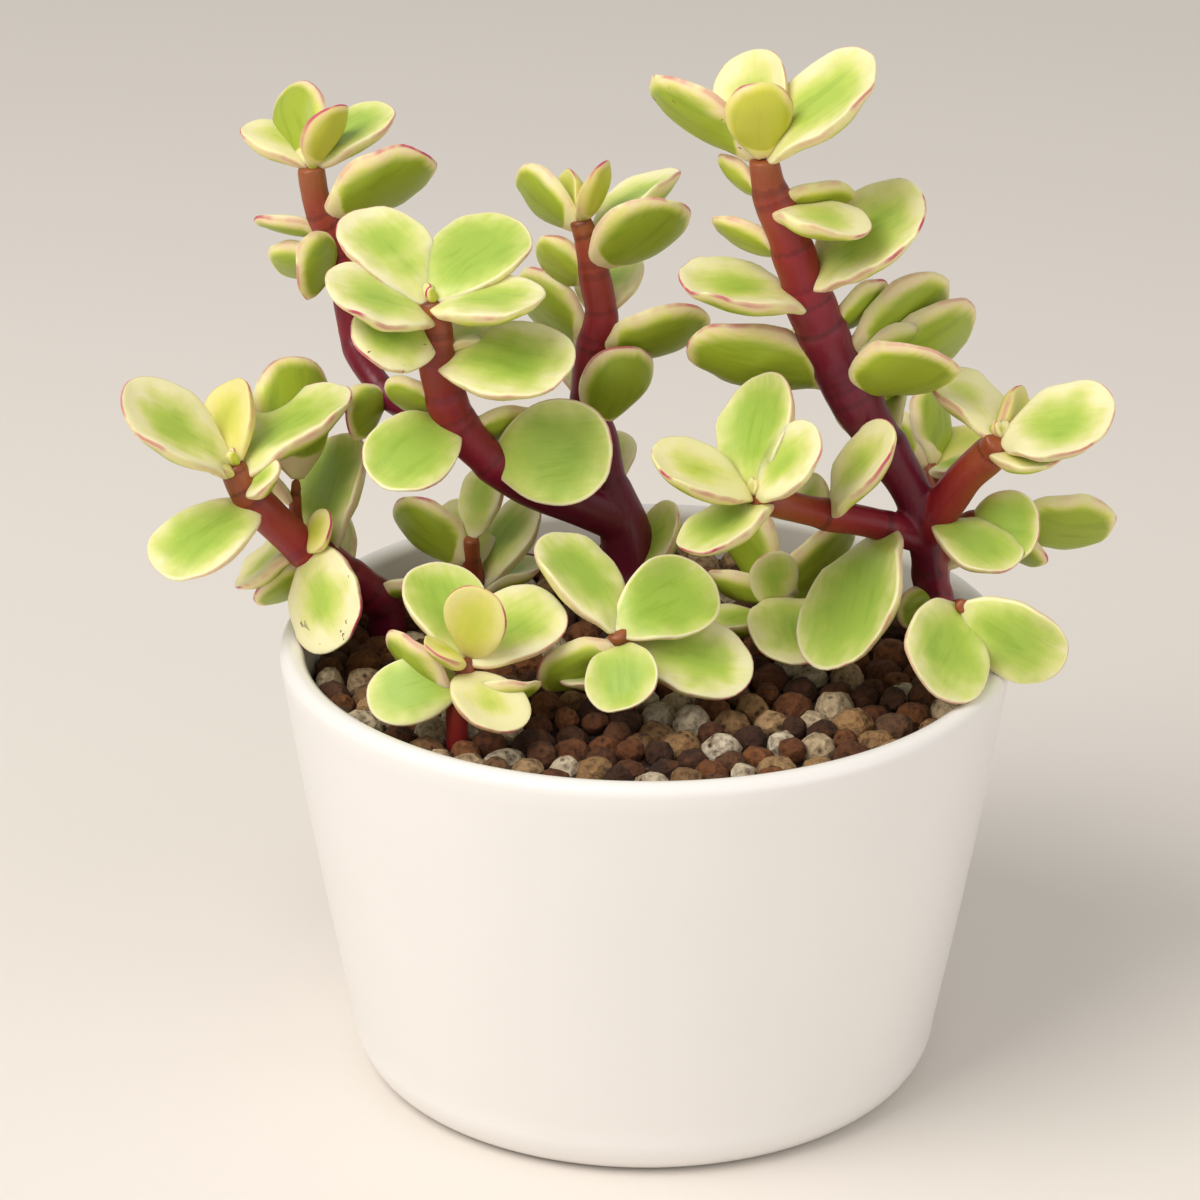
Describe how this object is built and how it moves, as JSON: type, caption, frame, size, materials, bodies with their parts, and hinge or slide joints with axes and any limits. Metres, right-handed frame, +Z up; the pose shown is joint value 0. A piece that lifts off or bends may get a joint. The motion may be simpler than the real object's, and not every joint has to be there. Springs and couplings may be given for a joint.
{
  "type": "potted dwarf jade bonsai",
  "caption": "Dwarf jade bonsai with red woody stems and variegated spoon-shaped leaves, standing in a round white ceramic pot topped with clay granules.",
  "frame": {"origin": "centre of the pot's flat resting face", "axes": "+Z up along the pot's axis, -Y towards the viewer of the picture, +X to the viewer's right"},
  "size_m": [0.1349, 0.0996, 0.1444],
  "materials": {
    "pot_glaze": "white satin ceramic glaze",
    "potting_mix": "dark crumbly potting mix",
    "clay_granules": "matt baked clay and pumice granules",
    "jade_leaf": "waxy green and cream leaves",
    "jade_bark": "smooth wine-red stem skin"
  },
  "bodies": {
    "root": {"pot": "pot_glaze", "potting_mix": "potting_mix", "gravel_top_dressing": "clay_granules", "right_jade_stem": "jade_leaf", "centre_jade_stem": "jade_leaf", "left_jade_stem": "jade_leaf", "front_left_sprig": "jade_leaf", "middle_left_sprig": "jade_leaf", "front_centre_sprig": "jade_leaf", "right_middle_sprig": "jade_leaf"}
  },
  "joints": []
}
